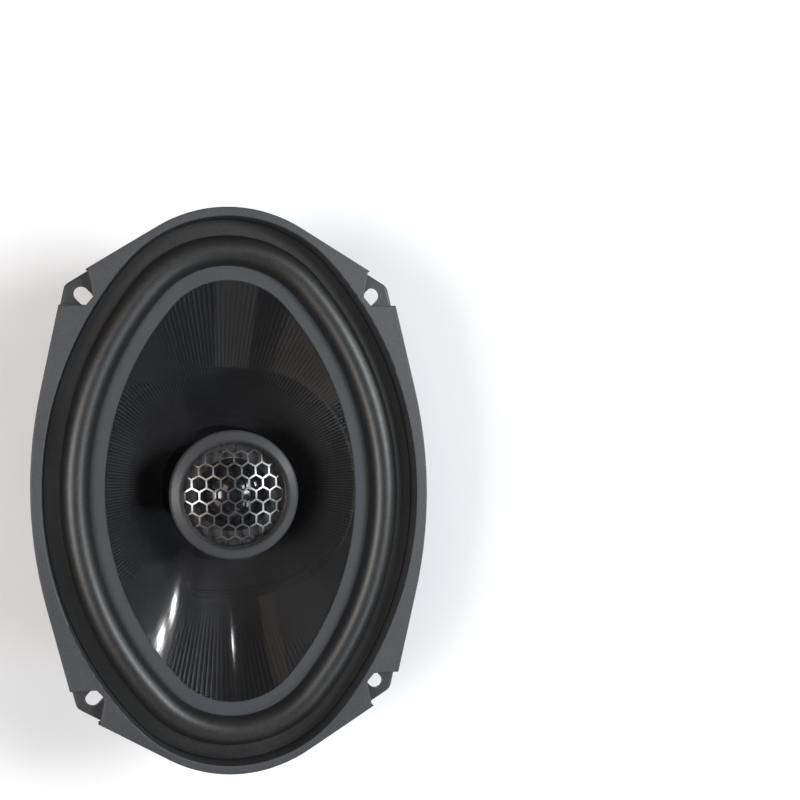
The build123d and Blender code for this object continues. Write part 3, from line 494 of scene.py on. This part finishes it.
def dimple_group():
    """Lens-shaped dimples in staggered columns, as a depth from 0 to 1."""
    sizes = [("Columns", DIMPLE_COLUMNS), ("Rows", DIMPLE_ROWS), ("Half width", DIMPLE_HALF_W)]
    sizes += [("Half height", DIMPLE_HALF_H), ("From radius", DIMPLE_FROM_R)]
    sizes += [("Cone height", ledge_z - cone_low.z)]
    group, entry, leave = mask_group("dimples", sizes, ["Depth"])
    place = group.nodes.new("ShaderNodeTexCoord")
    parts = group.nodes.new("ShaderNodeSeparateXYZ")
    group.links.new(place.outputs["Object"], parts.inputs["Vector"])
    x, y, z = parts.outputs
    bearing = worked(group, "DIVIDE", worked(group, "ARCTAN2", y, x), math.tau)
    column = worked(group, "MULTIPLY", worked(group, "ADD", bearing, 1.0), entry.outputs["Columns"])
    height = worked(group, "DIVIDE", worked(group, "ADD", z, 1.0), entry.outputs["Cone height"])
    odd = worked(group, "MODULO", worked(group, "FLOOR", column), 2.0)
    row = worked(group, "MULTIPLY", height, entry.outputs["Rows"])
    row = worked(group, "ADD", row, worked(group, "MULTIPLY", odd, 0.5))
    squares = []
    for count, half in ((column, "Half width"), (row, "Half height")):
        off_middle = worked(group, "SUBTRACT", worked(group, "FRACT", count), 0.5)
        share = worked(group, "DIVIDE", off_middle, entry.outputs[half])
        squares.append(worked(group, "MULTIPLY", share, share))
    bowl = worked(group, "SUBTRACT", 1.0, worked(group, "ADD", *squares))
    reach = worked(group, "ADD", worked(group, "MULTIPLY", x, x), worked(group, "MULTIPLY", y, y))
    outside = worked(group, "GREATER_THAN", worked(group, "SQRT", reach), entry.outputs["From radius"])
    depth = worked(group, "MULTIPLY", worked(group, "MAXIMUM", bowl, 0.0), outside)
    group.links.new(depth, leave.inputs["Depth"])
    return group


cone_gloss = finish("cone gloss", dark=CONE_DARK, light=CONE_LIGHT, rough=(0.06, 0.09), grains=700, bump=1.0)
dimples = cone_gloss.node_tree.nodes.new("ShaderNodeGroup")
dimples.node_tree = dimple_group()
dent = cone_gloss.node_tree.nodes["Relief"]
dent.invert = True
dent.inputs["Distance"].default_value = DIMPLE_DEPTH
cone_gloss.node_tree.links.new(dimples.outputs["Depth"], dent.inputs["Height"])
# Paints the dimples a lighter grey than the cone: a painted glint.
lay_over(cone_gloss, dimples.outputs["Depth"], DIMPLE_PAINTED_GLINT)
piece("cone_face", cone_shell(), "cone_assembly", cone_gloss, "cone_poly", "cone", crease=60)

rim_section = [
    (ROLL_END + RIM_LAP, ledge_z - CONE_WALL),
    (ROLL_END + RIM_LAP, ledge_z),
    (RIM_INSET, ledge_z),
    (RIM_INSET, ledge_z - CONE_WALL),
]
piece("cone_rim", round_oval(rim_section), "cone_assembly", cone_gloss, "cone_poly")

# ---------------------------------------------------------------- spider
# Resin-stiffened cloth disc with five rolls, glued to the coil former and to the basket's shelf.
# Its weave shows as a fine crossed grain.
SPIDER_ROLLS = 5
SPIDER_FLAT = 0.0035
CLOTH_T = 0.0005
SPIDER_POINTS = 61
SPIDER_DARK = (0.24, 0.15, 0.045)
SPIDER_LIGHT = (0.42, 0.29, 0.11)
FORMER_GAP = 0.0001
TURN_STEPS = 160
spider_low, spider_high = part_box("spider")
spider_inner_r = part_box("voice_coil_former")[1].x + FORMER_GAP
spider_outer_r = spider_high.x


def weave_group():
    """Crossed threads as a height and a mask."""
    group, entry, leave = mask_group("weave", [("Scale", 1500.0)], ["Mask", "Height"])
    place = group.nodes.new("ShaderNodeTexCoord")
    threads = []
    for direction in ("X", "Y"):
        wave = group.nodes.new("ShaderNodeTexWave")
        wave.bands_direction = direction
        wave.inputs["Distortion"].default_value = 0.6
        group.links.new(place.outputs["Object"], wave.inputs["Vector"])
        group.links.new(entry.outputs["Scale"], wave.inputs["Scale"])
        threads.append(wave.outputs["Fac"])
    cross = worked(group, "MAXIMUM", *threads)
    group.links.new(cross, leave.inputs["Mask"])
    group.links.new(cross, leave.inputs["Height"])
    return group


weave = weave_group()


def regrain(surface, group, scale):
    """Swaps a finished surface's grain for another group with the same outputs."""
    nodes = surface.node_tree.nodes
    links = surface.node_tree.links
    grain_node = nodes["Grain"]
    grain_node.node_tree = group
    grain_node.inputs["Scale"].default_value = scale
    links.new(grain_node.outputs["Mask"], nodes["Shade"].inputs[0])
    links.new(grain_node.outputs["Mask"], nodes["Gloss"].inputs["Value"])
    links.new(grain_node.outputs["Height"], nodes["Relief"].inputs["Height"])


def cloth(name, dark, light, threads):
    """Woven surface."""
    surface = finish(name, dark=dark, light=light, rough=(0.75, 0.9), grains=threads, bump=0.8)
    regrain(surface, weave, threads)
    return surface


def turned(points):
    """Closed section of (radius, z) points spun round the speaker's axis."""
    bm = bmesh.new()
    section = line_of(bm, [(radius, 0, z) for radius, z in points])
    around = {"cent": (0, 0, 0), "axis": (0, 0, 1), "angle": math.tau}
    bmesh.ops.spin(bm, geom=section, steps=TURN_STEPS, use_merge=True, **around)
    bmesh.ops.remove_doubles(bm, verts=bm.verts, dist=1e-7)
    return bm


def spider_line(lift):
    """Corrugated line from the former to the shelf."""
    line = []
    for step in range(SPIDER_POINTS):
        radius = spider_inner_r + (spider_outer_r - spider_inner_r) * step / (SPIDER_POINTS - 1)
        along = (radius - rolls_from) / (rolls_to - rolls_from)
        wave = math.sin(math.tau * SPIDER_ROLLS * along) if 0 < along < 1 else 0.0
        line.append((radius, spider_low.z + roll_h * (1 + wave) + lift))
    return line


rolls_from = spider_inner_r + SPIDER_FLAT
rolls_to = spider_outer_r - SPIDER_FLAT
roll_h = (spider_high.z - spider_low.z - CLOTH_T) / 2
spider_cloth = cloth("spider cloth", SPIDER_DARK, SPIDER_LIGHT, threads=900)
spider_section = spider_line(CLOTH_T) + spider_line(0)[::-1]
spider = piece("spider_rolls", turned(spider_section), None, spider_cloth, "spider_cloth", "spider")
bend(spider, lambda point: 1 - smooth_share(point.xy.length, rolls_from, rolls_to))

# ---------------------------------------------------------------- voice coil
# Aluminium former glued into the cone's neck, wound below with lacquered copper wire in the magnet's gap.
# Turns of wire show as fine ridges round the coil.
COPPER_DARK = (0.36, 0.12, 0.035)
COPPER_LIGHT = (0.62, 0.26, 0.09)


def turns_group():
    """Fine parallel ridges, as a mask and as a height."""
    group, entry, leave = mask_group("turns", [("Scale", 800.0)], ["Mask", "Height"])
    place = group.nodes.new("ShaderNodeTexCoord")
    wave = group.nodes.new("ShaderNodeTexWave")
    wave.bands_direction = "Z"
    wave.inputs["Distortion"].default_value = 0.2
    group.links.new(place.outputs["Object"], wave.inputs["Vector"])
    group.links.new(entry.outputs["Scale"], wave.inputs["Scale"])
    group.links.new(wave.outputs["Fac"], leave.inputs["Mask"])
    group.links.new(wave.outputs["Fac"], leave.inputs["Height"])
    return group


aluminium = finish(
    "former aluminium", dark=(0.50, 0.50, 0.52), light=(0.64, 0.64, 0.66),
    rough=(0.28, 0.4), grains=600, bump=0.1, Metallic=1.0,
)
paint(aluminium, "voice_coil_former")
wound = finish(
    "coil copper", dark=COPPER_DARK, light=COPPER_LIGHT,
    rough=(0.22, 0.34), grains=700, bump=0.9, Metallic=0.9,
)
regrain(wound, turns_group(), scale=700)
paint(wound, "voice_coil_winding", "tweeter_voice_coil")

# ---------------------------------------------------------------- motor
# Zinc-plated top plate and yoke round a ferrite ring, in a rubber boot stretched over the magnet.
# The boot's satin face carries a very fine sparkle, and a bead of flecked adhesive seals the plate's edge.
BOOT_DARK = (0.046, 0.048, 0.054)
BOOT_LIGHT = (0.062, 0.064, 0.071)
BOOT_SPARKLE = (0.22, 0.23, 0.27)
ADHESIVE_FLECKS = (0.62, 0.64, 0.70)
BEAD_R = 0.0009
BEAD_POINTS = 10

zinc = finish(
    "zinc plate", dark=(0.36, 0.36, 0.37), light=(0.52, 0.52, 0.53),
    rough=(0.3, 0.44), grains=500, bump=0.15, Metallic=1.0,
)
paint(zinc, "top_plate", "yoke", "basket_rivets", "post_nut")
steel = finish(
    "tweeter steel", dark=(0.3, 0.3, 0.31), light=(0.4, 0.4, 0.41),
    rough=(0.3, 0.42), grains=500, bump=0.1, Metallic=1.0,
)
paint(steel, "tweeter_top_plate", "tweeter_magnet", "tweeter_yoke")
paint(finish(
    "ferrite", dark=(0.022, 0.022, 0.024), light=(0.045, 0.045, 0.048),
    rough=(0.6, 0.75), grains=900, bump=0.6,
), "magnet")
boot = finish("boot rubber", dark=BOOT_DARK, light=BOOT_LIGHT, rough=(0.40, 0.52), grains=1600, bump=0.25)
paint(add_specks(boot, BOOT_SPARKLE, cells=5200, share=0.08), "magnet_boot")

plate_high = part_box("top_plate")[1]
bead_turns = [math.tau * step / BEAD_POINTS for step in range(BEAD_POINTS)]
bead_z = plate_high.z - BEAD_R
bead_points = [(plate_high.x + BEAD_R * math.cos(t), bead_z + BEAD_R * math.sin(t)) for t in bead_turns]
adhesive = finish(
    "flecked adhesive", dark=(0.02, 0.02, 0.022), light=(0.05, 0.05, 0.055),
    rough=(0.2, 0.4), grains=500, bump=1.0,
)
add_specks(adhesive, ADHESIVE_FLECKS, cells=1100, share=0.3)
piece("plate_adhesive", turned(bead_points), "basket", adhesive, "glue_clear")

# ---------------------------------------------------------------- tweeter
# Dome tweeter on a post over the pole: a flared plastic housing, a satin grey bezel, and a domed
# dark-chrome honeycomb over a glossy film dome. The honeycomb's ribs are rounded.
RIB_ROUND = 0.00014
SHARP_ANGLE = 32
housing = finish(
    "tweeter housing", dark=(0.014, 0.014, 0.015), light=(0.022, 0.022, 0.024),
    rough=(0.3, 0.4), grains=1200, bump=0.15,
)
paint(housing, "tweeter_housing")
post = finish(
    "tweeter post", dark=(0.014, 0.014, 0.015), light=(0.026, 0.026, 0.028),
    rough=(0.4, 0.5), grains=1200, bump=0.2,
)
paint(post, "tweeter_post", "tweeter_ring")
bezel = finish(
    "tweeter bezel", dark=(0.040, 0.041, 0.044), light=(0.054, 0.055, 0.059),
    rough=(0.34, 0.42), grains=1500, bump=0.2,
)
paint(bezel, "tweeter_bezel")
film = finish(
    "dome film", dark=(0.008, 0.008, 0.009), light=(0.014, 0.014, 0.016),
    rough=(0.10, 0.16), grains=700, bump=0.05,
)
paint(film, "tweeter_dome")
insulation = finish(
    "black insulation", dark=(0.012, 0.012, 0.012), light=(0.022, 0.022, 0.022),
    rough=(0.3, 0.42), grains=900, bump=0.1,
)
paint(insulation, "tweeter_leads")


def smooth_copy(node, body, surface, slot):
    """Merged copy of a CAD node, which takes the node's place."""
    bm = bmesh.new()
    bm.from_mesh(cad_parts[node].data)
    bmesh.ops.transform(bm, matrix=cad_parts[node].matrix_world, verts=bm.verts)
    bmesh.ops.remove_doubles(bm, verts=bm.verts, dist=1e-6)
    return piece(node + "_visual", bm, body, surface, slot, node, crease=SHARP_ANGLE)


chrome = finish(
    "dark chrome", dark=(0.17, 0.168, 0.165), light=(0.25, 0.247, 0.243),
    rough=(0.26, 0.36), grains=900, bump=0.1, Metallic=1.0,
)
grille = smooth_copy("tweeter_grille", "basket", chrome, "grille_chrome")
rounding = grille.modifiers.new("rounding", "BEVEL")
rounding.width = RIB_ROUND
rounding.segments = 2
rounding.limit_method = "ANGLE"
rounding.angle_limit = math.radians(SHARP_ANGLE)
rounding.harden_normals = True

# ---------------------------------------------------------------- terminal board
# Brown phenolic board riveted to the end arm, with two tinned push-on tabs at one side.
# Fine fibre mottles its face.
laminate = finish(
    "phenolic laminate", dark=(0.085, 0.042, 0.014), light=(0.15, 0.08, 0.030),
    rough=(0.4, 0.55), grains=420, bump=0.3,
)
paint(laminate, "terminal_board")
tin = finish(
    "tin plate", dark=(0.58, 0.56, 0.50), light=(0.74, 0.72, 0.66),
    rough=(0.22, 0.36), grains=700, bump=0.15, Metallic=1.0,
)
paint(tin, "board_rivets", "terminal_positive", "terminal_negative")
solder = finish(
    "solder and glue", dark=(0.35, 0.35, 0.36), light=(0.60, 0.60, 0.62),
    rough=(0.25, 0.4), grains=700, bump=0.4, Metallic=0.6,
)
paint(solder, "lead_eyelets")

# ---------------------------------------------------------------- capacitors
# Two sleeved electrolytic capacitors lying across the board. Each can is grooved near one end and
# its shrink sleeve turns over the rim of a bare end disc, with a broken yellow stripe for its marking.
SLEEVE_DARK = (0.006, 0.006, 0.007)
SLEEVE_LIGHT = (0.013, 0.013, 0.015)
STRIPE = (0.62, 0.47, 0.06)
STRIPE_AT = 0.0012
STRIPE_HALF = 0.0007
DASH_RUN = 0.0016
DASH_GAP = 0.0007
CAN_STEPS = 48
END_SHARE = 0.72
CAN_OUTLINE = [  # share along the can, share of its radius
    (0.005, 0.0), (0.005, 0.70), (0.0, 0.76), (0.0, 0.90), (0.012, 0.97), (0.035, 1.0),
    (0.13, 1.0), (0.15, 0.97), (0.165, 0.92), (0.19, 0.90), (0.215, 0.92), (0.23, 0.97), (0.25, 1.0),
    (0.965, 1.0), (0.988, 0.97), (1.0, 0.90), (1.0, 0.76), (0.995, 0.70), (0.995, 0.0),
]


def lying_turned(low, high, outline, name, surface, slot, *stands_for):
    """Solid turned about X inside a box, from (share along, share of the radius) points."""
    bm = bmesh.new()
    middle = (low + high) / 2
    length, radius = high.x - low.x, (high.z - low.z) / 2
    places = [(low.x + length * along, middle.y, middle.z + radius * out) for along, out in outline]
    line = line_of(bm, places, closed=False)
    bmesh.ops.spin(bm, geom=line, cent=middle, axis=(1, 0, 0), angle=math.tau, steps=CAN_STEPS, use_merge=True)
    bmesh.ops.remove_doubles(bm, verts=bm.verts, dist=1e-6)
    return piece(name, bm, "basket", surface, slot, *stands_for)


def striped(name, middle):
    """Black sleeve with a broken yellow stripe along one side."""
    surface = finish(name, dark=SLEEVE_DARK, light=SLEEVE_LIGHT, rough=(0.16, 0.24), grains=700, bump=0.1)
    tree = surface.node_tree
    place = tree.nodes.new("ShaderNodeTexCoord")
    parts = tree.nodes.new("ShaderNodeSeparateXYZ")
    tree.links.new(place.outputs["Object"], parts.inputs["Vector"])
    near = worked(tree, "COMPARE", parts.outputs["Y"], middle.y + STRIPE_AT, STRIPE_HALF)
    dashes = worked(tree, "PINGPONG", parts.outputs["X"], DASH_RUN)
    broken = worked(tree, "GREATER_THAN", dashes, DASH_GAP)
    lay_over(surface, worked(tree, "MULTIPLY", near, broken), STRIPE)
    return surface


for can in ("capacitor_large", "capacitor_small"):
    low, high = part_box(can)
    centre, radius = (low + high) / 2, (high.z - low.z) / 2
    sleeve = striped(can + " sleeve", centre)
    made = lying_turned(low, high, CAN_OUTLINE, can + "_can", sleeve, "capacitor_sleeve", can)
    made.data.materials.append(aluminium)
    for face in made.data.polygons:
        away = (face.center - centre) / radius
        if math.hypot(away.y, away.z) < END_SHARE and abs(away.x) > 1:
            face.material_index = 1

# ---------------------------------------------------------------- inductor
# Small crossover coil: copper wire wound on a black bobbin with rounded flanges.
# The wire's outer layer lies in close turns.
FLANGE_SHARE = 0.109
HUB_SHARE = 0.51
BORE_SHARE = 0.24
WIRE_TURNS = 13
POINTS_PER_TURN = 6
WIRE_DEPTH = 0.035
bobbin_low, bobbin_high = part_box("inductor_bobbin")
left_flange = [(0.0, BORE_SHARE), (0.0, 0.94), (0.02, 0.985), (FLANGE_SHARE / 2, 1.0)]
left_flange += [(FLANGE_SHARE - 0.02, 0.985), (FLANGE_SHARE, 0.95), (FLANGE_SHARE, HUB_SHARE)]
right_flange = [(1 - along, out) for along, out in reversed(left_flange)]
bobbin_outline = left_flange + right_flange + left_flange[:1]
bobbin_black = finish(
    "bobbin plastic", dark=(0.018, 0.018, 0.020), light=(0.035, 0.035, 0.038),
    rough=(0.35, 0.48), grains=1000, bump=0.2,
)
lying_turned(
    bobbin_low, bobbin_high, bobbin_outline, "bobbin_spool", bobbin_black, "bobbin_plastic", "inductor_bobbin"
)
coil_low, coil_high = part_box("inductor_winding")
coil_outline = [(0.0, HUB_SHARE)]
for step in range(WIRE_TURNS * POINTS_PER_TURN + 1):
    swell = abs(math.sin(math.pi * step / POINTS_PER_TURN))
    coil_outline.append((step / (WIRE_TURNS * POINTS_PER_TURN), 1 - WIRE_DEPTH * (1 - swell)))
coil_outline.append((1.0, HUB_SHARE))
lacquered = finish(
    "inductor copper", dark=COPPER_DARK, light=COPPER_LIGHT,
    rough=(0.2, 0.3), grains=500, bump=0.1, Metallic=0.9,
)
lying_turned(coil_low, coil_high, coil_outline, "inductor_turns", lacquered, "copper_wire", "inductor_winding")

# ---------------------------------------------------------------- hot glue and wires
# Cloudy hot-melt glue fills the valley between the bobbin and the large capacitor in a few lumps.
# Two red jumper wires and two tinsel braids link the parts.
GLUE_DEPTHS = (0.002, 0.0018, 0.0014)
BRAID_DARK = (0.20, 0.12, 0.04)
BRAID_LIGHT = (0.62, 0.46, 0.24)
LEAD_HELD = 0.002
LEAD_FREE = 0.020
GLUE_LUMPS = 5
LUMP_OVERLAP = 1.35
LUMP_SWELL = 0.16
glue_low, glue_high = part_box("hot_glue")
glue_middle, glue_half = (glue_low + glue_high) / 2, (glue_high - glue_low) / 2
glue_bm = bmesh.new()
for lump in range(GLUE_LUMPS):
    swell = 1 - LUMP_SWELL * (lump % 2)
    reach = Vector((glue_half.x / GLUE_LUMPS * LUMP_OVERLAP, glue_half.y * swell, glue_half.z * swell))
    run = glue_half.x - reach.x
    along = -run + 2 * run * lump / (GLUE_LUMPS - 1)
    place = Matrix.Translation(glue_middle + Vector((along, 0, 0))) @ Matrix.Diagonal((*reach, 1))
    bmesh.ops.create_icosphere(glue_bm, subdivisions=3, radius=1, matrix=place)
glue = finish(
    "hot glue", dark=(0.62, 0.61, 0.56), light=(0.80, 0.79, 0.75),
    rough=(0.25, 0.4), grains=300, bump=0.5, Subsurface_Weight=0.4,
)
glue.node_tree.nodes["Principled BSDF"].inputs["Subsurface Radius"].default_value = GLUE_DEPTHS
piece("glue_lumps", glue_bm, "basket", glue, "glue_clear", "hot_glue")
red = finish(
    "red insulation", dark=(0.42, 0.006, 0.006), light=(0.55, 0.012, 0.010),
    rough=(0.22, 0.32), grains=700, bump=0.1,
)
paint(red, "jumper_wire_long", "jumper_wire_short")
braid = cloth("tinsel braid", BRAID_DARK, BRAID_LIGHT, threads=2600)


def bend_lead(lead):
    """Works out a lead's shares with bend: 1 at its eyelet end, falling to 0 towards the board."""
    eye = min((vert.co for vert in lead.data.vertices), key=lambda place: place.y).copy()
    bend(lead, lambda point: 1 - smooth_share((point - eye).length, LEAD_HELD, LEAD_FREE))


for side in ("left", "right"):
    bend_lead(smooth_copy(f"tinsel_lead_{side}", None, braid, "tinsel_braid"))

low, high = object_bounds()
